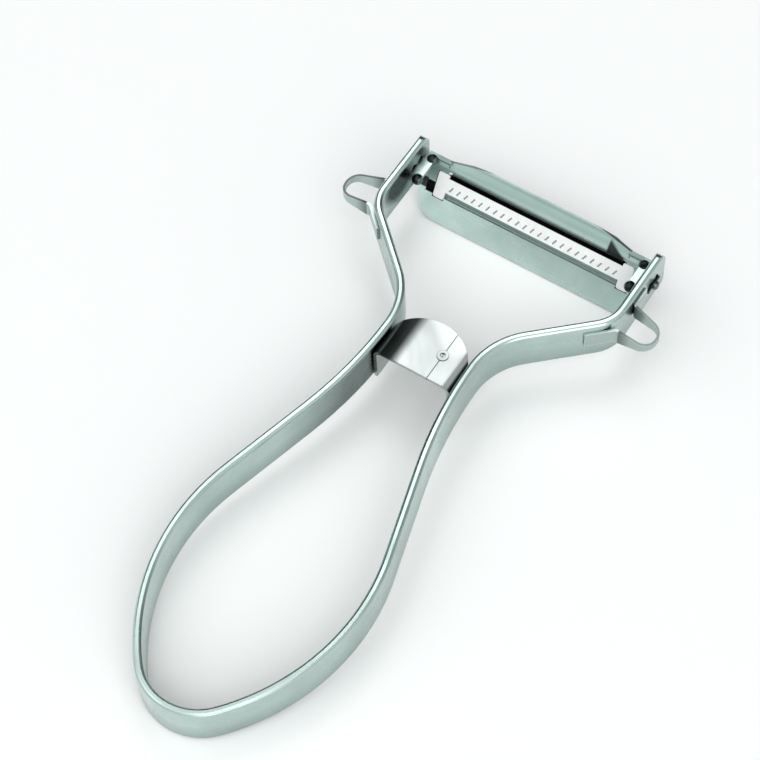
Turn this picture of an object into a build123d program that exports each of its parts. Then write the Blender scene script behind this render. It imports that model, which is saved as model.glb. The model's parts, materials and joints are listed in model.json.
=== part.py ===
from build123d import *
from math import atan2, cos, degrees, radians, sin, tan
import os

# All-metal vegetable peeler: one bent strap makes the loop handle and the fork,
# a pressed carrier swings between the ears, and a thin blade hooks into it.
# Millimetres. The peeler lies as on a table: the loop's end and the carrier's
# lower edge touch it, and the strap slopes up a little towards the fork.

# Strap: a flat band on edge, its centre line a chain of tangent arcs and lines
strap_width = 11.6
strap_thickness = 2.0
strap_edge_break = 0.5
strap_edge_softening = 0.17
loop_end_radius = 12.9
loop_end_turn = 48.6
loop_side_radius = 51.2
taper_heading = 105.4
taper_length = 22.5
throat_radius = 104.0
neck_heading = 90.0
fork_bend_radius = 17.6
arm_heading = 42.5
arm_length = 16.2
ear_bend_radius = 8.6
ear_length = 17.8
ear_corner_radius = 2.4

# Pivot: a flat tongue on each end of the carrier turns in a bow-tie hole
tongue_width = 5.0
tongue_thickness = 0.9
pivot_clearance = 0.05
pivot_to_ear_tip = 5.4
swing_each_way = 40.0
swing_spare = 2.0
tongue_beyond_ear = 0.5
nose_diameter = 2.1
nose_length = 0.9
nose_round = 0.6

# Carrier: one pressing of thin sheet with a long window for the blade
sheet_thickness = 0.8
carrier_lean = 60.0
carrier_side_play = 0.6
sheet_before_axis = 3.8
apron_drop = 13.4
apron_corner_radius = 6.0
hood_start = 0.4
hood_radius = 4.1
hood_end_drop = 2.45
hood_end_slope = 9.4
hood_corner_radius = 40.0
hood_end_radius = 0.8
lip_radius = 1.2
lip_turn = 70.0
window_foot = 5.65
window_end_width = 5.75
window_corner_radius = 1.2
end_window_low = 6.8
end_window_high = 3.7
end_window_margin = 1.5
shoulder_width = 2.2
shoulder_spacing = 6.7
shoulder_root_width = 6.0
shoulder_root_depth = 1.1
shoulder_lug_diameter = 2.6
shoulder_lug_inset = 1.5

# Blade: a strip with a head at each end that hooks into the carrier's window
blade_thickness = 0.5
blade_low = 5.3
blade_high = 1.55
head_low = 7.4
head_high = 0.6
head_length = 2.9
head_inset = 0.7
head_clearance = 0.12
head_corner_radius = 0.5
edge_bevel_depth = 0.35
edge_bevel_length = 1.0
nick_end_margin = 1.5
nick_pitch = 2.0
nick_length = 1.5
nick_width = 0.4
nick_depth = 0.15
nick_slant = 62.0
nick_above_edge = 1.35

# Bridge: two bent brackets across the neck, butted and tack welded
bridge_thickness = 0.8
bridge_below_strap_edge = 0.5
bridge_bend_radius = 2.2
bridge_length = 13.9
bridge_behind_neck = 7.8
bridge_arc_spread = 1.0
bridge_flange_foot = 0.4
seam_from_middle = 4.0
seam_gap = 0.12
weld_diameter = 2.7
weld_height = 0.25
weld_hollow_diameter = 1.2
weld_behind_seam_middle = 0.2

# Eye gougers: a bent ribbon with two feet welded to each side of the fork
ribbon_thickness = 0.6
ribbon_root_width = 4.4
ribbon_tip_width = 1.6
ribbon_above_middle = 1.5
gouger_reach = 8.2
gouger_ear_foot = 5.2
gouger_arm_foot = 7.0
gouger_top_below_pivot = 9.2
gouger_span = 7.9
gouger_tip_slope = 2.0
gouger_tip_radius = 3.1
gouger_root_radius = 0.9

# Fits and cutting allowances
weld_gap = 0.03
overrun = 2.0

# Centre line of the right half of the strap, lying flat
with BuildLine() as half_line:
    loop_end = JernArc((0, 0), (1, 0), loop_end_radius, loop_end_turn)
    loop_side = JernArc(loop_end @ 1, loop_end % 1, loop_side_radius, taper_heading - loop_end_turn)
    taper = Line(loop_side @ 1, loop_side @ 1 + (loop_side % 1) * taper_length)
    throat = JernArc(taper @ 1, taper % 1, throat_radius, neck_heading - taper_heading)
    fork_bend = JernArc(throat @ 1, throat % 1, fork_bend_radius, arm_heading - neck_heading)
    arm = Line(fork_bend @ 1, fork_bend @ 1 + (fork_bend % 1) * arm_length)
    ear_bend = JernArc(arm @ 1, arm % 1, ear_bend_radius, neck_heading - arm_heading)
    ear = Line(ear_bend @ 1, ear_bend @ 1 + (ear_bend % 1) * ear_length)

half_strap = strap_thickness / 2
strap_middle = strap_width / 2
neck = throat @ 1
ear_tip = ear @ 1
ear_inner = ear_tip.X - half_strap
ear_outer = ear_tip.X + half_strap
pivot_y = ear_tip.Y - pivot_to_ear_tip
carrier_half_length = ear_inner - carrier_side_play
lean = radians(carrier_lean)

# The slope at which the loop's end and the carrier's lower edge touch the table
apron_back = sheet_before_axis + sheet_thickness
apron_foot_y = pivot_y - apron_drop * cos(lean) + apron_back * sin(lean)
apron_foot_z = strap_middle - apron_drop * sin(lean) - apron_back * cos(lean)
slope = atan2(-apron_foot_z, apron_foot_y + half_strap)
hood_back_y = pivot_y + (hood_start * cos(lean) + sheet_before_axis * sin(lean)
                         + hood_radius * sin(lean))
hood_back_z = strap_middle + (hood_start * sin(lean) - sheet_before_axis * cos(lean)
                              + hood_radius * (1 - cos(lean)))
back_y = -half_strap * cos(slope) - strap_width * sin(slope)
front_y = hood_back_y * cos(slope) - (hood_back_z - sheet_thickness) * sin(slope)
lying = Plane(
    origin=(0, -(back_y + front_y) / 2, half_strap * sin(slope)),
    x_dir=(1, 0, 0),
    z_dir=(0, -sin(slope), cos(slope)),
)


def spot(x, y, z):
    """A place given along the flat strap, as it lies on the table."""
    return lying.from_local_coords((x, y, z))


def side_plane(x, y, z, turn=0):
    """A plane square to the pivot's axis: its X points to the ears' tips, turned up by degrees."""
    toward = spot(0, cos(radians(turn)), sin(radians(turn))) - spot(0, 0, 0)
    return Plane(origin=spot(x, y, z), x_dir=toward, z_dir=(1, 0, 0))


carrier_plane = Plane(
    origin=spot(0, pivot_y, strap_middle),
    x_dir=(1, 0, 0),
    z_dir=spot(0, -sin(lean), cos(lean)) - spot(0, 0, 0),
)
sheet_face = carrier_plane.offset(-sheet_before_axis)

# The bent strap with its rounded ears and bow-tie pivot holes
hole_radius = tongue_width / 2 + pivot_clearance
stop_angle = radians(swing_each_way + swing_spare)
stop_tip = (tongue_thickness / 2 + pivot_clearance) / cos(stop_angle)
stop_rise = hole_radius * tan(stop_angle)

with BuildPart() as handle_strap:
    with BuildSketch(side_plane(0, 0, strap_middle)) as section:
        Rectangle(strap_thickness, strap_width)
        chamfer(section.vertices(), length=strap_edge_break)
        chamfer(section.vertices(), length=strap_edge_softening)
    sweep(path=lying.offset(strap_middle).from_local_coords(half_line.line))
    mirror(about=Plane.YZ)
    with BuildSketch(side_plane(0, 0, strap_middle)):
        with Locations(((ear_tip.Y - overrun) / 2, 0)):
            profile = Rectangle(ear_tip.Y + overrun, strap_width)
        fillet(profile.vertices().sort_by(Axis.X)[-2:], radius=ear_corner_radius)
    extrude(amount=ear_outer + overrun, both=True, mode=Mode.INTERSECT)
    with BuildSketch(side_plane(0, pivot_y, strap_middle)) as bow_tie:
        Circle(hole_radius)
        for side in (-1, 1):
            with BuildLine():
                Polyline(
                    (0, side * stop_tip),
                    (hole_radius, side * (stop_tip + stop_rise)),
                    (-hole_radius, side * (stop_tip + stop_rise)),
                    close=True,
                )
            make_face(mode=Mode.SUBTRACT)
    extrude(amount=ear_outer + overrun, both=True, mode=Mode.SUBTRACT)
handle_strap.part.label = "handle_strap"

# The pressed carrier: apron, window, rolled hood, end shoulders and tongues
hood_top = hood_start + hood_radius * sin(lean)
hood_end_height = hood_top - hood_end_drop
window_half_length = carrier_half_length - window_end_width
head_middle = window_half_length + head_inset
notch_length = head_length + 2 * head_clearance
notch_low = head_low + head_clearance
notch_high = head_high - head_clearance
notch_middle = -(notch_low + notch_high) / 2
end_window_reach = carrier_half_length - end_window_margin
tongue_root = carrier_half_length - shoulder_width
tongue_tip = ear_outer + tongue_beyond_ear
shoulder_back = sheet_before_axis / sin(lean) + sheet_thickness
shoulder_front = -shoulder_spacing / 2
shoulder_middle_y = pivot_y + (shoulder_back + shoulder_front) / 2
shoulder_root_y = pivot_y + shoulder_back - shoulder_root_depth / 2

with BuildPart() as blade_carrier:
    with BuildSketch(sheet_face):
        with Locations((0, (hood_start - apron_drop) / 2)):
            Rectangle(2 * carrier_half_length, hood_start + apron_drop)
    extrude(amount=-sheet_thickness)
    with BuildSketch(side_plane(0, pivot_y, strap_middle, carrier_lean)):
        with BuildLine():
            hood_centre = (hood_start, -sheet_before_axis - hood_radius)
            outer = CenterArc(hood_centre, hood_radius, 90, -carrier_lean)
            inner = CenterArc(hood_centre, hood_radius - sheet_thickness, 90, -carrier_lean)
            Line(outer @ 0, inner @ 0)
            Line(outer @ 1, inner @ 1)
        make_face()
    extrude(amount=carrier_half_length, both=True)
    with BuildSketch(carrier_plane) as outline:
        with Locations((0, (hood_end_height - apron_drop) / 2)):
            Rectangle(2 * carrier_half_length, hood_end_height + apron_drop)
        with Locations((0, (hood_end_height + hood_top) / 2)):
            Trapezoid(2 * carrier_half_length, hood_end_drop, hood_end_slope)
        fillet(outline.vertices().group_by(Axis.Y)[0], radius=apron_corner_radius)
        fillet(outline.vertices().group_by(Axis.Y)[-1], radius=hood_corner_radius)
        fillet(outline.vertices().group_by(Axis.Y)[-3], radius=hood_end_radius)
    extrude(amount=sheet_before_axis + hood_radius + overrun, both=True, mode=Mode.INTERSECT)
    with BuildSketch(sheet_face):
        with Locations((0, (hood_start - window_foot) / 2)):
            window = Rectangle(2 * window_half_length, hood_start + window_foot)
        fillet(window.vertices().sort_by(Axis.Y)[-2:], radius=window_corner_radius)
        with Locations((0, -(end_window_low + end_window_high) / 2)):
            Rectangle(2 * end_window_reach, end_window_low - end_window_high)
        with Locations((-head_middle, notch_middle), (head_middle, notch_middle)):
            Rectangle(notch_length, notch_low - notch_high)
    extrude(amount=sheet_thickness + overrun, both=True, mode=Mode.SUBTRACT)
    with BuildSketch(side_plane(0, pivot_y, strap_middle, carrier_lean)):
        with BuildLine():
            lip_centre = (hood_start, -sheet_before_axis - lip_radius)
            lip_outer = CenterArc(lip_centre, lip_radius, 90, lip_turn)
            lip_inner = CenterArc(lip_centre, lip_radius - sheet_thickness, 90, lip_turn)
            Line(lip_outer @ 0, lip_inner @ 0)
            Line(lip_outer @ 1, lip_inner @ 1)
        make_face()
    extrude(amount=window_half_length - window_corner_radius, both=True)
    with BuildSketch(lying.offset(strap_middle - tongue_thickness / 2)):
        with Locations((carrier_half_length - shoulder_width / 2, shoulder_middle_y)):
            Rectangle(shoulder_width, shoulder_back - shoulder_front)
        with Locations((carrier_half_length - shoulder_root_width / 2, shoulder_root_y)):
            Rectangle(shoulder_root_width, shoulder_root_depth)
    extrude(amount=tongue_thickness)
    with BuildSketch(side_plane(tongue_root, pivot_y, strap_middle)):
        Circle(tongue_width / 2)
        Rectangle(tongue_width, tongue_thickness, mode=Mode.INTERSECT)
    extrude(amount=tongue_tip - tongue_root)
    with BuildSketch(side_plane(tongue_tip, pivot_y, strap_middle)):
        Circle(nose_diameter / 2)
    nose = extrude(amount=nose_length)
    fillet(nose.edges().group_by(Axis.X)[-1], radius=nose_round)
    lug_x = carrier_half_length - shoulder_lug_inset
    with Locations(
        spot(lug_x, pivot_y - shoulder_spacing / 2, strap_middle),
        spot(lug_x, pivot_y + shoulder_spacing / 2, strap_middle),
    ):
        Sphere(shoulder_lug_diameter / 2)
    split(bisect_by=Plane.YZ, keep=Keep.TOP)
    mirror(about=Plane.YZ)
blade_carrier.part.label = "blade_carrier"

# The blade: strip and heads in one, a ground edge by the slot, slanted nicks
blade_front = -sheet_before_axis - (sheet_thickness - blade_thickness) / 2
blade_back = blade_front - blade_thickness
blade_face = carrier_plane.offset(blade_front)
head_centre = -(head_low + head_high) / 2
nick_count = 1 + 2 * int((window_half_length - nick_end_margin) / nick_pitch)

with BuildPart() as blade:
    with BuildSketch(blade_face):
        with Locations((0, -(blade_low + blade_high) / 2)):
            Rectangle(2 * head_middle, blade_low - blade_high)
        with Locations((-head_middle, head_centre), (head_middle, head_centre)):
            RectangleRounded(head_length, head_low - head_high, head_corner_radius)
    extrude(amount=-blade_thickness)
    with BuildSketch(side_plane(0, pivot_y, strap_middle, carrier_lean)):
        with BuildLine():
            Polyline(
                (-blade_high, blade_back),
                (-blade_high, blade_back + edge_bevel_depth),
                (-blade_high - edge_bevel_length, blade_back),
                close=True,
            )
        make_face()
    extrude(amount=head_middle - head_length / 2, both=True, mode=Mode.SUBTRACT)
    with BuildSketch(blade_face):
        with Locations((0, nick_above_edge - blade_low)):
            with GridLocations(nick_pitch, 0, nick_count, 1):
                Rectangle(nick_length, nick_width, rotation=nick_slant)
    extrude(amount=-nick_depth, mode=Mode.SUBTRACT)
blade.part.label = "blade"

# The bridge: an arched web with bent-down flanges, cut in two at the seam
bridge_half = neck.X - half_strap - weld_gap
bridge_arc_radius = bridge_half + bridge_arc_spread
bridge_top = strap_width - bridge_below_strap_edge
bridge_back_y = neck.Y - bridge_behind_neck
bridge_front_y = bridge_back_y + bridge_length
bridge_arc_y = bridge_front_y - bridge_arc_radius
bridge_height = bridge_top - bridge_flange_foot
inside_height = bridge_height - bridge_thickness
inside_radius = bridge_bend_radius - bridge_thickness
bridge_section = Plane(
    origin=spot(0, bridge_front_y, bridge_flange_foot),
    x_dir=(1, 0, 0),
    z_dir=spot(0, -1, 0) - spot(0, 0, 0),
)
seam = Plane.YZ.offset(seam_from_middle)
weld_y = (bridge_back_y + bridge_front_y) / 2 - weld_behind_seam_middle


def bridge_channel():
    """The whole bridge as one bent channel under its arched outline."""
    with BuildPart() as channel:
        with BuildSketch(bridge_section):
            with Locations((0, bridge_height / 2)):
                outside = Rectangle(2 * bridge_half, bridge_height)
            fillet(outside.vertices().sort_by(Axis.Y)[-2:], radius=bridge_bend_radius)
            with BuildSketch(mode=Mode.SUBTRACT):
                with Locations((0, inside_height / 2)):
                    inside = Rectangle(2 * (bridge_half - bridge_thickness), inside_height)
                fillet(inside.vertices().sort_by(Axis.Y)[-2:], radius=inside_radius)
        extrude(amount=bridge_length)
        with BuildSketch(lying):
            with Locations((0, bridge_arc_y)):
                Circle(bridge_arc_radius)
            with Locations((0, (bridge_arc_y + bridge_back_y) / 2)):
                Rectangle(2 * bridge_arc_radius, bridge_arc_y - bridge_back_y)
            with Locations((0, bridge_back_y - bridge_length / 2)):
                Rectangle(2 * bridge_arc_radius, bridge_length, mode=Mode.SUBTRACT)
        extrude(amount=strap_width, mode=Mode.INTERSECT)
    return channel.part


with BuildPart() as bridge_left_bracket:
    add(bridge_channel())
    split(bisect_by=seam.offset(-seam_gap / 2), keep=Keep.BOTTOM)
    with BuildSketch(lying.offset(bridge_top)):
        with Locations((seam_from_middle, weld_y)):
            Circle(weld_diameter / 2)
            Circle(weld_hollow_diameter / 2, mode=Mode.SUBTRACT)
    extrude(amount=weld_height)
bridge_left_bracket.part.label = "bridge_left_bracket"

with BuildPart() as bridge_right_bracket:
    add(bridge_channel())
    split(bisect_by=seam.offset(seam_gap / 2), keep=Keep.TOP)
bridge_right_bracket.part.label = "bridge_right_bracket"

# The eye gougers: a ribbon loop that narrows to its tip, with welded feet
seat = half_strap + weld_gap + ribbon_thickness / 2
ribbon_middle = strap_middle + ribbon_above_middle
root_x = ear_tip.X + seat
tip_x = root_x + gouger_reach
top_y = pivot_y - gouger_top_below_pivot
low_y = top_y - gouger_span
arm_out = Vector(sin(radians(arm_heading)), -cos(radians(arm_heading)))
arm_seat = arm @ 1 + arm_out * seat
arm_root = arm_seat + (arm % 1) * ((low_y - arm_seat.Y) / (arm % 1).Y)

with BuildLine() as ribbon_line:
    FilletPolyline(
        (root_x, top_y + gouger_ear_foot),
        (root_x, top_y),
        (tip_x, top_y - gouger_tip_slope),
        (tip_x, low_y),
        arm_root,
        arm_root - (arm % 1) * gouger_arm_foot,
        radius=[gouger_root_radius, gouger_tip_radius, gouger_tip_radius, gouger_root_radius],
    )

with BuildPart() as right_eye_gouger:
    with BuildSketch(
        Plane(
            origin=spot(root_x, top_y + gouger_ear_foot, ribbon_middle),
            x_dir=(1, 0, 0),
            z_dir=spot(0, -1, 0) - spot(0, 0, 0),
        )
    ):
        Rectangle(ribbon_thickness, ribbon_root_width)
    sweep(path=lying.offset(ribbon_middle).from_local_coords(ribbon_line.line))
    with BuildSketch(
        Plane(
            origin=spot(0, low_y - overrun, ribbon_middle),
            x_dir=(1, 0, 0),
            z_dir=spot(0, -1, 0) - spot(0, 0, 0),
        )
    ):
        for side in (-1, 1):
            with BuildLine():
                Polyline(
                    (root_x + ribbon_thickness, side * ribbon_root_width / 2),
                    (tip_x + ribbon_thickness, side * ribbon_tip_width / 2),
                    (tip_x + ribbon_thickness, side * ribbon_root_width / 2),
                    close=True,
                )
            make_face()
    extrude(amount=-(gouger_span + 2 * overrun), mode=Mode.SUBTRACT)
right_eye_gouger.part.label = "right_eye_gouger"

with BuildPart() as left_eye_gouger:
    mirror(right_eye_gouger.part, about=Plane.YZ)
left_eye_gouger.part.label = "left_eye_gouger"

os.makedirs("parts", exist_ok=True)
export_step(handle_strap.part, "parts/handle_strap.step")
export_step(bridge_left_bracket.part, "parts/bridge_left_bracket.step")
export_step(bridge_right_bracket.part, "parts/bridge_right_bracket.step")
export_step(left_eye_gouger.part, "parts/left_eye_gouger.step")
export_step(right_eye_gouger.part, "parts/right_eye_gouger.step")
export_step(blade_carrier.part, "parts/blade_carrier.step")
export_step(blade.part, "parts/blade.step")
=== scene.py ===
# %% [markdown]
# # A steel peeler with a swinging blade
# The peeler is one bent strap with a pressed blade carrier swinging between its
# ears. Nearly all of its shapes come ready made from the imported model, so this
# lesson is mostly about light and steel. Bare steel has hardly a colour of its
# own: it shows what is around it, broken up by its grain and wear.

# %% Load the fixed frame
import json
from math import cos, radians, sin

import bpy
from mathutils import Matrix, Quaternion, Vector


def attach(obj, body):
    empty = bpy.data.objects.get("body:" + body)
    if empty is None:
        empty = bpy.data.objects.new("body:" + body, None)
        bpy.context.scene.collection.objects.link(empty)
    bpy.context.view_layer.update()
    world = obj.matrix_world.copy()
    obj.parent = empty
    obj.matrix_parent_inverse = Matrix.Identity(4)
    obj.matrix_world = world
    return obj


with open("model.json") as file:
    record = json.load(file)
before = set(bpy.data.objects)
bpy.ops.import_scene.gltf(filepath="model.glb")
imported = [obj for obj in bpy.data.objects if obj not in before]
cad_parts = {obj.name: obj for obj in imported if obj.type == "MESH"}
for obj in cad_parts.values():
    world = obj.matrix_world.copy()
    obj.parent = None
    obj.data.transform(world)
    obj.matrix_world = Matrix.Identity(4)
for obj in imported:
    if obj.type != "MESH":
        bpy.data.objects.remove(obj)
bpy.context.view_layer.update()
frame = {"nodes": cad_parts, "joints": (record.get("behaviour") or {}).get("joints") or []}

# %% [markdown]
# ## The camera
# The photograph was taken from above and to the right, from well back with a
# long lens. A camera can be aimed by hand until it looks right, but here its
# place was worked out from the edges of the strap, so it is given as a place,
# the point it looks at and a small roll. That keeps the strap's edges where the
# photograph has them.

# %% Camera
camera_place = Vector((0.15708, -0.23994, 0.46271))
camera_target = Vector((-0.0073, 0.01709, 0.008))
camera_roll = radians(-0.241)
camera_lens = 116.71

lens = bpy.data.cameras.new("camera")
lens.lens = camera_lens
camera = bpy.data.objects.new("camera", lens)
bpy.context.collection.objects.link(camera)
look = (camera_target - camera_place).normalized()
camera.rotation_mode = "QUATERNION"
camera.rotation_quaternion = Quaternion(look, camera_roll) @ look.to_track_quat("-Z", "Y")
camera.location = camera_place
bpy.context.scene.camera = camera
bpy.context.scene.view_settings.view_transform = "Standard"
print("camera is", round((camera_target - camera_place).length, 3), "m from the peeler")

# %% [markdown]
# ## The floor
# The peeler lies on plain white. A floor could be a small disc, but steel shows
# its edge as a line, so this one is a wide sheet that also fills the picture.
# Its high roughness keeps it matt, and it takes a soft shadow.

# %% Floor
floor_half = 2.5
floor_white = (0.94, 0.94, 0.94, 1)
floor_roughness = 0.9

floor_mesh = bpy.data.meshes.new("floor")
corners = [(-floor_half, -floor_half, 0), (floor_half, -floor_half, 0),
           (floor_half, floor_half, 0), (-floor_half, floor_half, 0)]
floor_mesh.from_pydata(corners, [], [(0, 1, 2, 3)])
floor = bpy.data.objects.new("floor", floor_mesh)
bpy.context.collection.objects.link(floor)
paper = bpy.data.materials.new("white_paper")
paper.use_nodes = True
paper_shader = paper.node_tree.nodes["Principled BSDF"]
paper_shader.inputs["Roughness"].default_value = floor_roughness
paper_shader.inputs["Base Color"].default_value = floor_white
floor_mesh.materials.append(paper)
print("floor is", 2 * floor_half, "m wide")

# %% [markdown]
# ## Two small helpers for nodes
# The room and all the steels are worked out in nodes, by small steps of
# arithmetic. Each such node could be made and linked by hand, but that takes
# several lines a time and hides what is worked out. These two helpers make one
# node each and hand back what comes out of it.

# %% Helpers for nodes
def vector_node(tree, operation, first, second=None):
    """One step of arithmetic on a vector socket, with another or a fixed vector."""
    node = tree.nodes.new("ShaderNodeVectorMath")
    node.operation = operation
    tree.links.new(first, node.inputs[0])
    if isinstance(second, bpy.types.NodeSocket):
        tree.links.new(second, node.inputs[1])
    elif second is not None:
        node.inputs[1].default_value = second
    return node.outputs


def remap(tree, value, low, high):
    """Spreads the part of a value from low to high over 0 to 1."""
    spread = tree.nodes.new("ShaderNodeMapRange")
    spread.inputs["From Min"].default_value = low
    spread.inputs["From Max"].default_value = high
    tree.links.new(value, spread.inputs["Value"])
    return spread.outputs["Result"]


print("helpers:", vector_node.__name__, remap.__name__)

# %% [markdown]
# ## The light
# Steel needs something to reflect. An evenly white room makes it flat, and its
# edges and bends lose their dark lines. So the room is bright in front and to
# the right, and falls off to black behind and to the left. A lamp in front
# lights the floor, and a weaker one on the left fills its shadows. A small lamp
# high at the back is there to be mirrored in the strap's flat rim.

# %% Room
front_tone = (0.80, 0.83, 0.825, 1)
back_tone = (0.10, 0.12, 0.12, 1)
side_tone = (0.008, 0.01, 0.01, 1)
dark_way = Vector((-0.44, 0.9, 0))
turn_from = -0.005
turn_to = 0.66
back_stop = 0.81
room_level = 1.0

world = bpy.data.worlds.new("room")
world.use_nodes = True
bpy.context.scene.world = world
sky = world.node_tree
direction = sky.nodes.new("ShaderNodeTexCoord").outputs["Generated"]
toward_dark = vector_node(sky, "DOT_PRODUCT", direction, dark_way)["Value"]
room_tones = sky.nodes.new("ShaderNodeValToRGB")
front, side = room_tones.color_ramp.elements
front.position, front.color = 0.0, front_tone
side.position, side.color = 1.0, side_tone
back = room_tones.color_ramp.elements.new(back_stop)
back.color = back_tone
sky.links.new(remap(sky, toward_dark, turn_from, turn_to), room_tones.inputs["Fac"])
sky.links.new(room_tones.outputs["Color"], sky.nodes["Background"].inputs["Color"])
sky.nodes["Background"].inputs["Strength"].default_value = room_level
print("room is", front_tone[:3], "in front and", side_tone[:3], "behind on the left")

# %% Lamps
lamps = {
    "front_lamp": {"place": (0.55, -0.55, 0.75), "size": 0.9, "power": 4.9},
    "fill_lamp": {"place": (-0.55, -0.30, 0.95), "size": 0.9, "power": 2.4},
    "rim_lamp": {"place": (-0.29, 0.50, 0.92), "size": 0.50, "power": 1.9},
}

for name, setting in lamps.items():
    light = bpy.data.lights.new(name, "AREA")
    light.size = setting["size"]
    light.energy = setting["power"]
    lamp = bpy.data.objects.new(name, light)
    lamp.location = setting["place"]
    lamp.rotation_mode = "QUATERNION"
    lamp.rotation_quaternion = (-Vector(setting["place"])).to_track_quat("-Z", "Y")
    bpy.context.collection.objects.link(lamp)
    print(name, "gives", setting["power"], "watts")

# %% [markdown]
# ## What bare steel shows
# Rolled and pressed steel has fine lines along the way it was rolled, dull smudges from handling,
# hair scratches, edges rubbed brighter than the faces, and shade in its corners. The edges also
# get a painted highlight on top of the wear, and the corner shade is painted into the colour.
# Every steel has all five in its own measure, so each is built once as a node group that gives a
# mask, and the materials say how much of it they take.

# %% Helpers for mask groups
def mask_group(name, sliders):
    """An empty group with number inputs and one Mask output."""
    group = bpy.data.node_groups.new(name, "ShaderNodeTree")
    for label, value in sliders.items():
        socket = group.interface.new_socket(label, in_out="INPUT", socket_type="NodeSocketFloat")
        socket.default_value = value
    group.interface.new_socket("Mask", in_out="OUTPUT", socket_type="NodeSocketFloat")
    return group, group.nodes.new("NodeGroupInput"), group.nodes.new("NodeGroupOutput")


def stretched_place(group, inputs, labels):
    """The piece's own coordinates in metres, times one input for each axis."""
    place = group.nodes.new("ShaderNodeTexCoord").outputs["Object"]
    stretch = group.nodes.new("ShaderNodeCombineXYZ")
    for axis, label in zip("XYZ", labels):
        group.links.new(inputs.outputs[label], stretch.inputs[axis])
    return vector_node(group, "MULTIPLY", place, stretch.outputs["Vector"])["Vector"]


def noise_group(name, sliders, labels, detail, distortion, low, high):
    """A mask group of noise, with its part from low to high spread over 0 to 1."""
    group, inputs, outputs = mask_group(name, sliders)
    noise = group.nodes.new("ShaderNodeTexNoise")
    noise.inputs["Scale"].default_value = 1.0
    noise.inputs["Detail"].default_value = detail
    noise.inputs["Distortion"].default_value = distortion
    group.links.new(stretched_place(group, inputs, labels), noise.inputs["Vector"])
    group.links.new(remap(group, noise.outputs["Fac"], low, high), outputs.inputs["Mask"])
    return group


print("helpers:", mask_group.__name__, stretched_place.__name__, noise_group.__name__)

# %% [markdown]
# ## Lines, smudges and scratches
# All three are noise. What tells them apart is how far the noise is stretched
# and how much of it shows. Rolling lines are thousands to the metre one way and
# a few dozen the other, smudges are as long as they are wide, and of the
# scratches only the tops of the noise are kept, which leaves single hairs.
# Image textures could show more, but these fit any shape without a seam.

# %% Rolling lines
rolling_lines = noise_group(
    "rolling_lines", {"Across X": 40.0, "Across Y": 40.0, "Across Z": 4000.0},
    ("Across X", "Across Y", "Across Z"), detail=4.0, distortion=0.0, low=0.3, high=0.7)
print("made", rolling_lines.name)

# %% Handling smudges
smudges = noise_group(
    "handling_smudges", {"Per metre": 60.0},
    ("Per metre", "Per metre", "Per metre"), detail=3.0, distortion=0.6, low=0.42, high=0.68)
print("made", smudges.name)

# %% Hair scratches
scratches = noise_group(
    "hair_scratches", {"Along": 50.0, "Across": 1800.0},
    ("Along", "Across", "Across"), detail=2.0, distortion=0.3, low=0.66, high=0.74)
print("made", scratches.name)

# %% [markdown]
# ## Edges and corners
# Tumbling and use rub an edge bright, a rounded edge also catches a highlight, and a tight corner
# lies in shade; here the highlight and the shade are painted into the colour. Both could be
# painted by hand, edge by edge. Here the surface finds them itself: a Bevel node turns the normal
# near an edge, so an edge is where that normal and the true one part, and Ambient Occlusion finds
# the places that see little of the room.

# %% Rubbed and highlit edges
edge_samples = 6
edge_from = 0.995
edge_full = 0.86

rubbed_and_highlit_edges, edges_in, edges_out = mask_group("rubbed_and_highlit_edges", {"Reach": 0.0004})
rounded = rubbed_and_highlit_edges.nodes.new("ShaderNodeBevel")
rounded.samples = edge_samples
rubbed_and_highlit_edges.links.new(edges_in.outputs["Reach"], rounded.inputs["Radius"])
true_normal = rubbed_and_highlit_edges.nodes.new("ShaderNodeNewGeometry").outputs["Normal"]
same_way = vector_node(rubbed_and_highlit_edges, "DOT_PRODUCT", rounded.outputs["Normal"], true_normal)
at_edge = remap(rubbed_and_highlit_edges, same_way["Value"], edge_from, edge_full)
rubbed_and_highlit_edges.links.new(at_edge, edges_out.inputs["Mask"])
print("made", rubbed_and_highlit_edges.name)

# %% Shade in the corners
shade_samples = 8
shade_from = 0.75
shade_full = 0.25

corner_shade, shade_in, shade_out = mask_group("corner_shade", {"Reach": 0.0025})
hollow = corner_shade.nodes.new("ShaderNodeAmbientOcclusion")
hollow.samples = shade_samples
corner_shade.links.new(shade_in.outputs["Reach"], hollow.inputs["Distance"])
in_shade = remap(corner_shade, hollow.outputs["AO"], shade_from, shade_full)
corner_shade.links.new(in_shade, shade_out.inputs["Mask"])
print("made", corner_shade.name)

# %% [markdown]
# ## Finding places on the blade unit
# The nicks, the pivot lugs and the slot are dark in the photograph. They could
# be cut out as pieces of their own, but a mask is lighter: one group measures how
# far a spot is from the middle, up the sheet and out of it, in millimetres from
# the pivot, and each finish picks its places from those three numbers.

# %% Directions of the blade unit
carrier_lean = radians(63.265)
pivot = Vector(frame["joints"][0]["pos_m"])
up_sheet = Vector((0, cos(carrier_lean), sin(carrier_lean)))
out_of_sheet = Vector((0, -sin(carrier_lean), cos(carrier_lean)))
millimetres = 1000.0

blade_directions = bpy.data.node_groups.new("blade_directions", "ShaderNodeTree")
directions_out = blade_directions.nodes.new("NodeGroupOutput")
unit_place = blade_directions.nodes.new("ShaderNodeTexCoord").outputs["Object"]
from_pivot = vector_node(blade_directions, "SUBTRACT", unit_place, pivot)["Vector"]
for label, way in {"Side": Vector((1, 0, 0)), "Up": up_sheet, "Out": out_of_sheet}.items():
    blade_directions.interface.new_socket(label, in_out="OUTPUT", socket_type="NodeSocketFloat")
    distance = vector_node(blade_directions, "DOT_PRODUCT", from_pivot, way * millimetres)
    blade_directions.links.new(distance["Value"], directions_out.inputs[label])
print("made", blade_directions.name, "from the pivot at", tuple(pivot))

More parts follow.
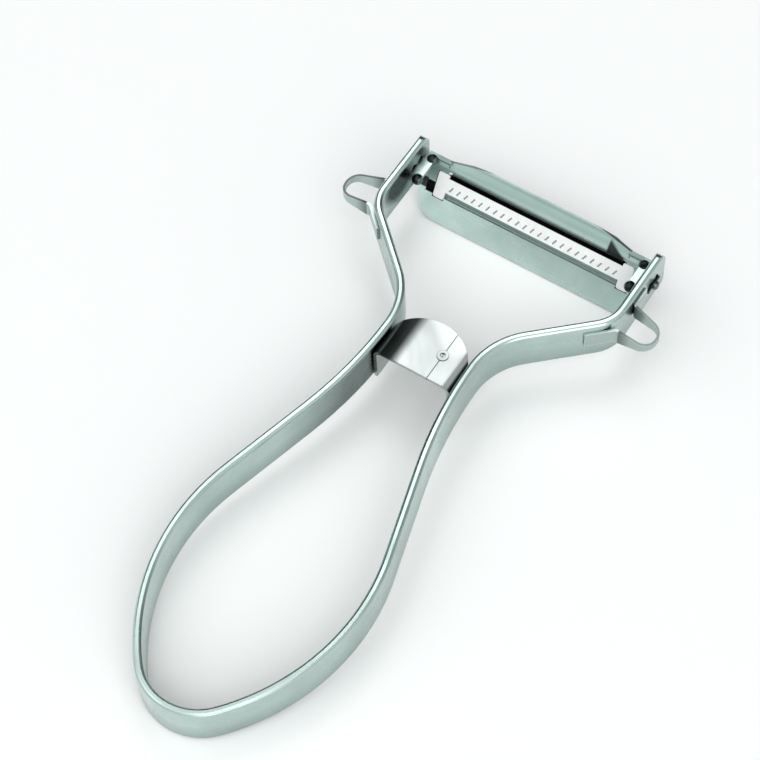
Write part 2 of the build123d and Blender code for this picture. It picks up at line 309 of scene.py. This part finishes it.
# %% [markdown]
# ## From masks to steel
# Each kind of steel gets a metal shader of its own. The masks darken or lighten
# its colour a little, roughen it where it was handled and cut fine lines in its
# surface through a bump. Metal could be faked with a grey gloss, but a metallic
# shader tints its reflections with its colour, and that gives this steel its
# cool, slightly green grey.

# %% Helpers for blending
def group_node(tree, group, **values):
    """Places a mask group in a material with its own values."""
    node = tree.nodes.new("ShaderNodeGroup")
    node.node_tree = group
    for label, value in values.items():
        node.inputs[label.replace("_", " ")].default_value = value
    return node.outputs["Mask"]


def blend_colour(tree, mask, base, tint, share):
    """Goes from a colour towards a tint by a share of the mask."""
    amount = tree.nodes.new("ShaderNodeMath")
    amount.operation = "MULTIPLY"
    amount.inputs[1].default_value = share
    mix = tree.nodes.new("ShaderNodeMix")
    mix.data_type = "RGBA"
    tree.links.new(mask, amount.inputs[0])
    tree.links.new(amount.outputs["Value"], mix.inputs["Factor"])
    if isinstance(base, tuple):
        mix.inputs["A"].default_value = base
    else:
        tree.links.new(base, mix.inputs["A"])
    mix.inputs["B"].default_value = tint
    return mix.outputs["Result"]


def blend_number(tree, mask, base, far):
    """Goes from one number to another with the mask."""
    spread = tree.nodes.new("ShaderNodeMapRange")
    tree.links.new(mask, spread.inputs["Value"])
    if isinstance(base, float):
        spread.inputs["To Min"].default_value = base
    else:
        tree.links.new(base, spread.inputs["To Min"])
    spread.inputs["To Max"].default_value = far
    return spread.outputs["Result"]


print("helpers:", group_node.__name__, blend_colour.__name__, blend_number.__name__)

# %% Steel maker
line_darkness = 0.8
line_share = 0.25
dull_share = 0.45
corner_tone = (0.012, 0.015, 0.015, 1)
corner_share = 0.85
groove_strength = 0.35


def steel(name, tone, edge_tone, edge_share, smooth, handled, across, line_depth, metal=1.0):
    """Bare steel with its tones, its clean and handled roughness, and its rolling lines."""
    material = bpy.data.materials.new(name)
    material.use_nodes = True
    tree = material.node_tree
    shader = tree.nodes["Principled BSDF"]
    shader.inputs["Metallic"].default_value = metal
    lines = group_node(tree, rolling_lines,
                       Across_X=across[0], Across_Y=across[1], Across_Z=across[2])
    dull = group_node(tree, smudges)
    hairs = group_node(tree, scratches)
    edges = group_node(tree, rubbed_and_highlit_edges)
    in_corners = group_node(tree, corner_shade)
    dark_line = tuple(line_darkness * channel for channel in tone[:3]) + (1,)
    colour = blend_colour(tree, lines, tone, dark_line, line_share)
    colour = blend_colour(tree, dull, colour, dark_line, dull_share)
    # Edges take the edge tone: a painted highlight over the rubbing on bright steels, and a
    # painted dark line on dark-edged ones. Corners take painted shade.
    colour = blend_colour(tree, edges, colour, edge_tone, edge_share)
    colour = blend_colour(tree, in_corners, colour, corner_tone, corner_share)
    tree.links.new(colour, shader.inputs["Base Color"])
    rough = blend_number(tree, dull, smooth, handled)
    rough = blend_number(tree, hairs, rough, handled)
    tree.links.new(rough, shader.inputs["Roughness"])
    grooves = tree.nodes.new("ShaderNodeBump")
    grooves.inputs["Distance"].default_value = line_depth
    grooves.inputs["Strength"].default_value = groove_strength
    tree.links.new(lines, grooves.inputs["Height"])
    tree.links.new(grooves.outputs["Normal"], shader.inputs["Normal"])
    return material


print("maker:", steel.__name__)

# %% [markdown]
# ## One steel for each kind of piece
# The strap is drawn lengthwise and tumbled, so its lines run along it, and its edges are bright,
# partly from the rubbing and partly from a painted highlight. The carrier is smooth pressed sheet.
# The blade is ground, and so white that a full metal stays too dark in this room, so its lower
# Metallic lets it scatter light as a matt surface does. The bridge is plain sheet whose edges are
# painted as a thin dark line, and the gougers are narrow ribbon. The lines are counted to the
# metre across each axis, so they run along the axes with few of them.

# %% Materials on the pieces
bright = (0.90, 0.92, 0.92, 1)
dark_edge = (0.12, 0.14, 0.14, 1)
finishes = {
    "handle_strap": steel(
        "drawn_strap_steel", (0.53, 0.65, 0.62, 1), edge_tone=bright, edge_share=0.7,
        smooth=0.22, handled=0.34, across=(30, 30, 3500), line_depth=0.00002),
    "blade_carrier": steel(
        "pressed_carrier_steel", (0.618, 0.779, 0.735, 1), edge_tone=bright, edge_share=0.15,
        smooth=0.26, handled=0.38, across=(25, 900, 900), line_depth=0.00001),
    "blade": steel(
        "ground_blade_steel", (0.97, 0.975, 0.975, 1), edge_tone=bright, edge_share=0.3,
        smooth=0.62, handled=0.7, across=(2500, 60, 60), line_depth=0.00001, metal=0.25),
    "bridge_left_bracket": steel(
        "bridge_sheet_steel", (0.54, 0.58, 0.57, 1), edge_tone=dark_edge, edge_share=0.55,
        smooth=0.24, handled=0.40, across=(900, 60, 900), line_depth=0.00001),
    "right_eye_gouger": steel(
        "gouger_ribbon_steel", (0.44, 0.53, 0.505, 1), edge_tone=bright, edge_share=0.5,
        smooth=0.28, handled=0.40, across=(60, 60, 3000), line_depth=0.00001),
}
finishes["bridge_right_bracket"] = finishes["bridge_left_bracket"]
finishes["left_eye_gouger"] = finishes["right_eye_gouger"]
print("made", len(set(finishes.values())), "finishes")

# %% [markdown]
# ## Laying tones over a finish
# Some places of the real peeler look dark: a hole, shade, or the reflection of something dark.
# Each becomes a mask, made from where a spot lies, and a tone laid over the finish there, so that
# this shade and these reflections are painted into the colour. The tones are layered like coats of
# paint, so their order counts: what must stay dark is laid last.

# %% Helpers for details
def tint_where(material, mask, tone, share):
    """Lays a tone over a finished material by a share of the mask."""
    tree = material.node_tree
    colour = tree.nodes["Principled BSDF"].inputs["Base Color"]
    below = colour.links[0].from_socket
    tree.links.new(blend_colour(tree, mask, below, tone, share), colour)


def work_out(tree, operation, first, second=0):
    """One step of arithmetic on two sockets or numbers."""
    step_node = tree.nodes.new("ShaderNodeMath")
    step_node.operation = operation
    for socket, value in zip(step_node.inputs, (first, second)):
        if isinstance(value, (int, float)):
            socket.default_value = value
        else:
            tree.links.new(value, socket)
    return step_node.outputs["Value"]


def unit_measures(tree):
    """Side, Up and Out on the blade unit, in a material."""
    node = tree.nodes.new("ShaderNodeGroup")
    node.node_tree = blade_directions
    return node.outputs


print("helpers:", tint_where.__name__, work_out.__name__, unit_measures.__name__)

# %% Helpers for masks
crisp_fade = 0.1


def overlap(tree, *masks):
    """Where all of these masks hold at once."""
    shared = masks[0]
    for mask in masks[1:]:
        shared = work_out(tree, "MULTIPLY", shared, mask)
    return shared


def beyond(tree, value, edge, fade=crisp_fade):
    """A mask of the values above an edge, full one fade above it."""
    return remap(tree, value, edge, edge + fade)


def short_of(tree, value, edge, fade=crisp_fade):
    """A mask of the values below an edge, full one fade below it."""
    return remap(tree, value, edge, edge - fade)


def inside(tree, value, low, high, fade=crisp_fade):
    """A mask of the values between two limits, with the fade centred on each."""
    return overlap(tree, beyond(tree, value, low - fade / 2, fade),
                   short_of(tree, value, high + fade / 2, fade))


print("helpers:", overlap.__name__, beyond.__name__, short_of.__name__, inside.__name__)

# %% [markdown]
# ## Painted shade in the blade's nicks
# The nicks are stamped into the blade, and the shade in them is painted into its colour. Their
# shape is in the solid already, and their floors lie a little deeper than the blade's face, so the
# depth alone picks them out and nothing has to be drawn.

# %% Nicks
nick_deepest = -4.16
nick_highest = -4.03
nick_shade_tone = (0.30, 0.31, 0.31, 1)
nick_shade_share = 0.85

# Painted shade: the nicks' floors are darkened.
blade = finishes["blade"]
blade_out = unit_measures(blade.node_tree)["Out"]
in_nick = overlap(blade.node_tree, work_out(blade.node_tree, "LESS_THAN", blade_out, nick_highest),
                  work_out(blade.node_tree, "GREATER_THAN", blade_out, nick_deepest))
tint_where(blade, in_nick, nick_shade_tone, nick_shade_share)
print("nicks are dark from", nick_deepest, "to", nick_highest, "mm")

# %% [markdown]
# ## Clouds and painted dark lugs on the carrier
# The apron has faint pale patches, which are the smudge group once more with smaller patches. They
# are laid first, so that they lighten none of the dark places after them. The two lugs at each
# pivot are black in the photograph, from shade and dark reflections, and that black is painted in.
# Each is a round spot, measured from a point on the strap's slope through the pivot.

# %% Clouds on the carrier
carrier_clouds = 130.0
cloud_tone = (0.86, 0.97, 0.93, 1)
cloud_share = 0.25

carrier = finishes["blade_carrier"]
carrier_tree = carrier.node_tree
tint_where(carrier, group_node(carrier_tree, smudges, Per_metre=carrier_clouds),
           cloud_tone, cloud_share)
print("carrier has clouds,", carrier_clouds, "to the metre")

# %% Lugs
near_black = (0.02, 0.024, 0.024, 1)
strap_slope = radians(3.265)
along_strap = Vector((0, cos(strap_slope), sin(strap_slope)))
lug_side = 28.267
lug_from_pivot = 3.35
lug_reach = 1.38
lug_fade = 0.12
lug_share = 0.98

# Painted shade and dark reflection: each lug is laid over with near black.
spot_on_carrier = carrier_tree.nodes.new("ShaderNodeTexCoord").outputs["Object"]
for end in (-1, 1):
    for toward in (-1, 1):
        lug_spot = (pivot + Vector((end * lug_side, 0, 0)) / millimetres
                    + along_strap * toward * lug_from_pivot / millimetres)
        from_lug = vector_node(carrier_tree, "DISTANCE", spot_on_carrier, lug_spot)["Value"]
        on_lug = remap(carrier_tree, from_lug,
                       (lug_reach + lug_fade) / millimetres, lug_reach / millimetres)
        tint_where(carrier, on_lug, near_black, lug_share)
print("four lugs are dark within", lug_reach, "mm")

# %% [markdown]
# ## Shade on the hood, the shoulders and the lip
# The hood turns away from the bright front of the room, so it darkens toward its back. At its ends
# the shoulders rise from it, with dark roots, and along the slot the sheet rolls back as a lip
# that is black in the photograph. The room gives some of this. The masks paint in the shade that
# is still missing.

# %% Shade on the hood
hood_low = 0.7
hood_full = 2.4
hood_out = -3.2
hood_fade = 0.2
hood_tone = (0.20, 0.28, 0.26, 1)
hood_share = 0.90

carrier_at = unit_measures(carrier_tree)
from_middle = work_out(carrier_tree, "ABSOLUTE", carrier_at["Side"])
on_hood = overlap(carrier_tree, remap(carrier_tree, carrier_at["Up"], hood_low, hood_full),
                  short_of(carrier_tree, carrier_at["Out"], hood_out, hood_fade))
tint_where(carrier, on_hood, hood_tone, hood_share)
print("hood is shaded from", hood_low, "to", hood_full, "mm above the pivot")

# %% Roots of the shoulders
shoulder_end = 27.5
shoulder_slant = 0.65
shoulder_from = -2.55
shoulder_tone = (0.16, 0.21, 0.20, 1)
shoulder_share = 0.85

slanted = work_out(carrier_tree, "ADD", carrier_at["Out"],
                   work_out(carrier_tree, "MULTIPLY", carrier_at["Up"], shoulder_slant))
at_shoulder = overlap(
    carrier_tree, beyond(carrier_tree, slanted, shoulder_from),
    short_of(carrier_tree, from_middle, shoulder_end + crisp_fade))
tint_where(carrier, at_shoulder, shoulder_tone, shoulder_share)
print("shoulder roots are shaded within", shoulder_end, "mm of the middle")

# %% Lip
window_top = -0.5
lip_low = 0.1
lip_high = 0.75
lip_half_length = 23.6
lip_end_fade = 0.2
lip_tone = (0.03, 0.034, 0.034, 1)
lip_share = 0.9

# Painted shade: the lip is laid over with near black.
above_window = beyond(carrier_tree, carrier_at["Up"], window_top)
on_lip = overlap(carrier_tree, remap(carrier_tree, carrier_at["Up"], lip_high, lip_low),
                 short_of(carrier_tree, from_middle, lip_half_length, lip_end_fade), above_window)
tint_where(carrier, on_lip, lip_tone, lip_share)
print("lip is dark up to", lip_high, "mm above the pivot")

# %% [markdown]
# ## Painted shade round the window
# The sheet is 0.8 mm thick, and its cut walls lie in shade, which is painted as a dark line round
# the window. Each wall lies at a known height or width, so each mask is a narrow band there, kept
# behind the sheet's face so that no line shows on it. The two ends of the lip, and the sheet
# beside the little end windows, get painted shade too, each a patch of its own.

# %% Walls of the window
wall_up = -5.65
wall_out = -3.83
wall_half_length = 24.1
wall_reach = 0.12
wall_edge = 0.04
face_fade = 0.05
wall_shade_tone = (0.15, 0.20, 0.19, 1)
wall_share = 0.85

# Each mask below paints shade onto the sheet.
behind_face = short_of(carrier_tree, carrier_at["Out"], wall_out, face_fade)
at_wall = overlap(
    carrier_tree,
    inside(carrier_tree, carrier_at["Up"], wall_up - wall_reach, wall_up + wall_reach, wall_edge),
    behind_face, short_of(carrier_tree, from_middle, wall_half_length))
tint_where(carrier, at_wall, wall_shade_tone, wall_share)
print("window's lower wall is dark at", wall_up, "mm")

# %% End walls of the window
end_wall = 24.017
end_wall_from = -3.1
end_wall_share = 0.9

at_end_wall = overlap(
    carrier_tree,
    inside(carrier_tree, from_middle, end_wall - wall_reach, end_wall + wall_reach, wall_edge),
    behind_face, beyond(carrier_tree, carrier_at["Up"], end_wall_from))
tint_where(carrier, at_end_wall, lip_tone, end_wall_share)
print("window's end walls are dark at", end_wall, "mm")

# %% Ends of the lip
lip_end_from = 23.3
lip_end_to = 24.35
lip_end_low = -0.7
lip_end_high = 1.3
lip_end_out = -3.88
lip_end_up_fade = 0.2
lip_end_share = 0.95

at_lip_end = overlap(
    carrier_tree, inside(carrier_tree, from_middle, lip_end_from, lip_end_to),
    inside(carrier_tree, carrier_at["Up"], lip_end_low, lip_end_high, lip_end_up_fade),
    short_of(carrier_tree, carrier_at["Out"], lip_end_out, face_fade))
tint_where(carrier, at_lip_end, lip_tone, lip_end_share)
print("lip's ends are dark from", lip_end_from, "to", lip_end_to, "mm")

# %% Beside the end windows
rim_from = 28.2
rim_low = -6.1
rim_high = -3.4
rim_up_fade = 0.3
rim_out = -3.5
rim_share = 0.97

beside_window = overlap(
    carrier_tree, inside(carrier_tree, carrier_at["Up"], rim_low, rim_high, rim_up_fade),
    beyond(carrier_tree, from_middle, rim_from),
    short_of(carrier_tree, carrier_at["Out"], rim_out))
tint_where(carrier, beside_window, lip_tone, rim_share)
print("sheet is dark beyond", rim_from, "mm beside the end windows")

# %% [markdown]
# ## Shade at the slot's right end, and on the tongues
# The photograph has a black triangle above the slot's right end, which looks like the reflection
# of something dark. A mask under a slanted line paints that reflection in: the line starts high
# and falls toward the end. The tongues that turn in the ears are painted dark as well, as the
# shade of the holes they stand in.

# %% Shade at the slot's right end
triangle_from = 18.5
triangle_to = 23.7
triangle_height = 3.0
triangle_slope_fade = 0.7
triangle_side_fade = 0.4
triangle_tone = (0.02, 0.026, 0.025, 1)
triangle_share = 0.96

# Painted reflection: a dark triangle above the slot's right end.
along_triangle = work_out(carrier_tree, "SUBTRACT", carrier_at["Side"], triangle_from)
fallen = work_out(carrier_tree, "MULTIPLY", along_triangle, triangle_height / (triangle_to - triangle_from))
under_triangle = short_of(carrier_tree, work_out(carrier_tree, "ADD", carrier_at["Up"], fallen),
                      triangle_height + triangle_slope_fade / 2, triangle_slope_fade)
in_triangle = overlap(carrier_tree, under_triangle,
                  inside(carrier_tree, carrier_at["Side"], triangle_from, triangle_to, triangle_side_fade),
                  above_window)
tint_where(carrier, in_triangle, triangle_tone, triangle_share)
print("dark triangle runs from", triangle_from, "to", triangle_to, "mm")

# %% Tongues
tongue_from = 30.4
tongue_share = 0.8

# Painted shade on the tongues, where they stand in the holes.
on_tongue = beyond(carrier_tree, from_middle, tongue_from)
tint_where(carrier, on_tongue, near_black, tongue_share)
print("tongues are dark beyond", tongue_from, "mm")

# %% [markdown]
# ## Painted shade in the pivot holes
# Through each ear goes the hole in which a tongue turns, and its wall is black in the photograph:
# shade in the hole, painted into the strap's colour. The wall is what lies between the ear's two
# faces and near the pivot's axis, and the blade unit's own measures find that on the strap too.
# The band ends short of the faces, so that no dark ring shows on them.

# %% Walls of the pivot holes
ear_inner = 30.367
ear_outer = 32.367
ear_skin = 0.1
hole_reach = 4.3
hole_share = 0.93

strap = finishes["handle_strap"]
strap_tree = strap.node_tree
strap_at = unit_measures(strap_tree)
in_ear = inside(strap_tree, work_out(strap_tree, "ABSOLUTE", strap_at["Side"]),
                ear_inner + ear_skin, ear_outer - ear_skin)
from_axis = work_out(strap_tree, "SQRT", work_out(
    strap_tree, "ADD", work_out(strap_tree, "MULTIPLY", strap_at["Up"], strap_at["Up"]),
    work_out(strap_tree, "MULTIPLY", strap_at["Out"], strap_at["Out"])))
in_hole = overlap(strap_tree, in_ear, short_of(strap_tree, from_axis, hole_reach))
tint_where(strap, in_hole, near_black, hole_share)
print("hole walls are dark from", ear_inner, "to", ear_outer, "mm")

# %% [markdown]
# ## Tones along the strap
# The strap's broad faces are cloudy, and painted shade darkens them toward the table and near the
# neck. Its flat rim stays bright, so the neck's shade ends just below the rim. The inside of the
# left ear seems to mirror something dark, and a soft oval of painted reflection stands in for
# that. It ends just behind the ear's inner face, so that the outside stays bright.

# %% Clouds on the strap
strap_clouds = 38.0
strap_cloud_share = 0.25
low_tone = (0.20, 0.26, 0.245, 1)

tint_where(strap, group_node(strap_tree, smudges, Per_metre=strap_clouds),
           low_tone, strap_cloud_share)
print("strap has clouds,", strap_clouds, "to the metre")

# %% Shade low on the strap
up_strap = Vector((0, -sin(strap_slope), cos(strap_slope))) * millimetres
lower_edge = 4.32
low_from = 6.5
low_full = 0.5
low_share = 0.48

spot_on_strap = strap_tree.nodes.new("ShaderNodeTexCoord").outputs["Object"]
# Painted shade: the strap darkens toward its lower edge.
height = vector_node(strap_tree, "DOT_PRODUCT", spot_on_strap, up_strap)["Value"]
is_low = remap(strap_tree, height, lower_edge + low_from, lower_edge + low_full)
tint_where(strap, is_low, low_tone, low_share)
print("strap is darker within", low_from, "mm of its lower edge")

# %% Shade near the neck
neck_spot = Vector((-0.0095, 0.013, 0.010))
neck_near = 0.005
neck_far = 0.024
neck_tone = (0.05, 0.07, 0.065, 1)
neck_share = 0.65
rim_height = 11.0
rim_fade = 0.6

below_rim = short_of(strap_tree, height, lower_edge + rim_height, rim_fade)
from_neck = vector_node(strap_tree, "DISTANCE", spot_on_strap, neck_spot)["Value"]
near_neck = overlap(strap_tree, remap(strap_tree, from_neck, neck_far, neck_near), below_rim)
tint_where(strap, near_neck, neck_tone, neck_share)
print("strap is darker within", neck_far, "m of the neck")

# %% Painted dark reflection inside the left ear
patch_spot = Vector((-0.03037, 0.061, 0.0155))
patch_length = 0.0056
patch_height = 0.0046
patch_full = 0.75
patch_edge = 1.25
patch_skin = 0.15
patch_side = -15.0
patch_reflection_tone = (0.02, 0.027, 0.026, 1)
patch_share = 0.97

from_patch = vector_node(strap_tree, "SUBTRACT", spot_on_strap, patch_spot)["Vector"]
patch_shrink = Vector((0, 1 / patch_length, 1 / patch_height))
shrunk = vector_node(strap_tree, "MULTIPLY", from_patch, patch_shrink)["Vector"]
patch_reach = vector_node(strap_tree, "LENGTH", shrunk)["Value"]
in_patch = overlap(strap_tree, remap(strap_tree, patch_reach, patch_edge, patch_full),
                   inside(strap_tree, strap_at["Side"], -ear_inner - patch_skin, patch_side),
                   below_rim)
tint_where(strap, in_patch, patch_reflection_tone, patch_share)
print("left ear is dark round", tuple(patch_spot))

# %% [markdown]
# ## Dark roots of the gougers
# Each gouger is a ribbon that stands out from its ear and is darker toward it,
# where it sees more of the ear than of the room. The shade falls off with the
# distance from the middle, and leaves out the two feet that lie flat on the ear.

# %% Dark roots of the gougers
gouger_shade_from = 36.2
gouger_shade_full = 33.5
foot_face = 33.0
foot_fade = 0.2
gouger_tone = (0.05, 0.075, 0.068, 1)
gouger_share = 0.7

gouger = finishes["right_eye_gouger"]
gouger_tree = gouger.node_tree
out_from_middle = work_out(gouger_tree, "ABSOLUTE", unit_measures(gouger_tree)["Side"])
at_root = overlap(
    gouger_tree, remap(gouger_tree, out_from_middle, gouger_shade_from, gouger_shade_full),
    beyond(gouger_tree, out_from_middle, foot_face, foot_fade))
tint_where(gouger, at_root, gouger_tone, gouger_share)
print("gougers are dark toward", gouger_shade_full, "mm")

# %% [markdown]
# ## A bridge that rolls off
# The bridge's plate is white but for a dark band at its left end, as on a plate that starts to
# roll over before its bend. A roll of real mesh would part the bracket from the solid, so it is
# put in the normal: a bump bends the reflections and leaves the shape. Near its top a circle falls
# by the square of the way along over twice its radius, and that is the bump's height. A painted
# dark tone gives the band's reflection where the bump alone doesn't.

# %% Roll of the bridge
roll_from = -2.6
roll_radius = 17.0

bridge = finishes["bridge_left_bracket"]
bridge_tree = bridge.node_tree
across = bridge_tree.nodes.new("ShaderNodeSeparateXYZ")
bridge_place = bridge_tree.nodes.new("ShaderNodeTexCoord").outputs["Object"]
bridge_tree.links.new(bridge_place, across.inputs["Vector"])
side_mm = work_out(bridge_tree, "MULTIPLY", across.outputs["X"], millimetres)
rolled = work_out(bridge_tree, "MINIMUM", work_out(bridge_tree, "SUBTRACT", side_mm, roll_from), 0)
squared = work_out(bridge_tree, "MULTIPLY", rolled, rolled)
roll_height = work_out(bridge_tree, "MULTIPLY", squared, -1 / (2 * roll_radius))
fine_grooves = bridge_tree.nodes["Bump"]
roll = bridge_tree.nodes.new("ShaderNodeBump")
roll.inputs["Distance"].default_value = 1 / millimetres
bridge_tree.links.new(roll_height, roll.inputs["Height"])
bridge_tree.links.new(roll.outputs["Normal"], fine_grooves.inputs["Normal"])
print("bridge rolls off from", roll_from, "mm at a radius of", roll_radius, "mm")

# %% Dark band on the bridge
band_from = -3.3
band_full = -5.6
band_end = -8.9
band_end_fade = 0.8
band_share = 0.92

# Painted reflection: the band is laid over with near black.
in_band = overlap(bridge_tree, remap(bridge_tree, side_mm, band_from, band_full),
                  beyond(bridge_tree, side_mm, band_end, band_end_fade))
tint_where(bridge, in_band, near_black, band_share)
print("bridge is dark from", band_full, "to", band_end, "mm")

# %% [markdown]
# ## A dark strip for the shade behind the blade
# On white paper the slot and the little windows beside the blade's heads would be white, but in
# the photograph they are black. That black is shade, and a blackened strip put close behind them
# stands in for it as painted shade: flat against the sheet at its ends, and set back in the middle
# to let the peel pass behind the blade. A plane would do for the colour. A sheet with thickness
# also looks right from the back.

# %% Shape of the shade strip
shade_strip_top = -1.0
shade_strip_foot = -7.3
shade_strip_end = 28.3
shade_strip_step = 24.4
shade_strip_middle = 22.6
shade_strip_flush = -4.63
shade_strip_back = -5.75
shade_strip_thickness = 0.2
shade_strip_rounding = 0.00006

shade_strip_line = [(-shade_strip_end, shade_strip_flush), (-shade_strip_step, shade_strip_flush), (-shade_strip_middle, shade_strip_back),
              (shade_strip_middle, shade_strip_back), (shade_strip_step, shade_strip_flush), (shade_strip_end, shade_strip_flush)]
shade_strip_section = [(shade_strip_foot, 0), (shade_strip_top, 0),
                 (shade_strip_top, shade_strip_thickness), (shade_strip_foot, shade_strip_thickness)]
shade_strip_points = []
for across_unit, out in shade_strip_line:
    for up, depth in shade_strip_section:
        from_axle = Vector((across_unit, 0, 0)) + up_sheet * up + out_of_sheet * (out - depth)
        shade_strip_points.append(pivot + from_axle / millimetres)
corners_round = len(shade_strip_section)
shade_strip_faces = [(0, 3, 2, 1)]
for step in range(len(shade_strip_line) - 1):
    first = corners_round * step
    beside = first + corners_round
    for corner in range(corners_round):
        following = (corner + 1) % corners_round
        shade_strip_faces.append((first + corner, first + following,
                            beside + following, beside + corner))
last = corners_round * (len(shade_strip_line) - 1)
shade_strip_faces.append((last, last + 1, last + 2, last + 3))

shade_strip_mesh = bpy.data.meshes.new("shade_strip")
shade_strip_mesh.from_pydata(shade_strip_points, [], shade_strip_faces)
shade_strip = bpy.data.objects.new("shade_strip", shade_strip_mesh)
bpy.context.collection.objects.link(shade_strip)
bends = shade_strip.modifiers.new("bends", "BEVEL")
bends.width = shade_strip_rounding
bends.segments = 2
print("guard strip has", len(shade_strip_faces), "faces")

# %% [markdown]
# ## The strip's finish, and its place on the blade unit
# The strip is made by the same steel maker, but near black, as painted shade. Right below the
# blade the photograph shows no black, only sheet as bright as the apron, so the strip's foot gets
# a pale tone in the middle, where it shows through the slot. The strip rides on the blade unit and
# swings with it.

# %% Finish of the shade strip
bare_below = -5.8
bare_fade = 0.4
bare_tone = (0.60, 0.74, 0.70, 1)
bare_share = 0.95

# Near-black steel as painted shade: the strip stands in for the dark behind the slot.
shade_strip_steel = steel(
    "shade_strip_black", (0.012, 0.014, 0.014, 1), edge_tone=(0.05, 0.055, 0.055, 1),
    edge_share=0.4, smooth=0.5, handled=0.6, across=(25, 900, 900), line_depth=0.00001)
shade_strip_tree = shade_strip_steel.node_tree
shade_strip_at = unit_measures(shade_strip_tree)
bare_foot = overlap(
    shade_strip_tree, short_of(shade_strip_tree, shade_strip_at["Up"], bare_below + bare_fade, bare_fade),
    remap(shade_strip_tree, work_out(shade_strip_tree, "ABSOLUTE", shade_strip_at["Side"]),
          shade_strip_step, shade_strip_middle))
tint_where(shade_strip_steel, bare_foot, bare_tone, bare_share)
shade_strip_mesh.materials.append(shade_strip_steel)
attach(shade_strip, "blade_unit")
print("guard strip is", shade_strip_steel.name)

# %% [markdown]
# ## Finishes onto the solids
# The solids keep their shape, place and body. Only the material in each slot is
# swapped for the finish of that piece.

# %% Finishes onto the solids
for node, finish in finishes.items():
    piece = frame["nodes"][node]
    for slot in piece.material_slots:
        slot.material = finish
    print(node, "is", finish.name, "with", len(piece.material_slots), "slot")
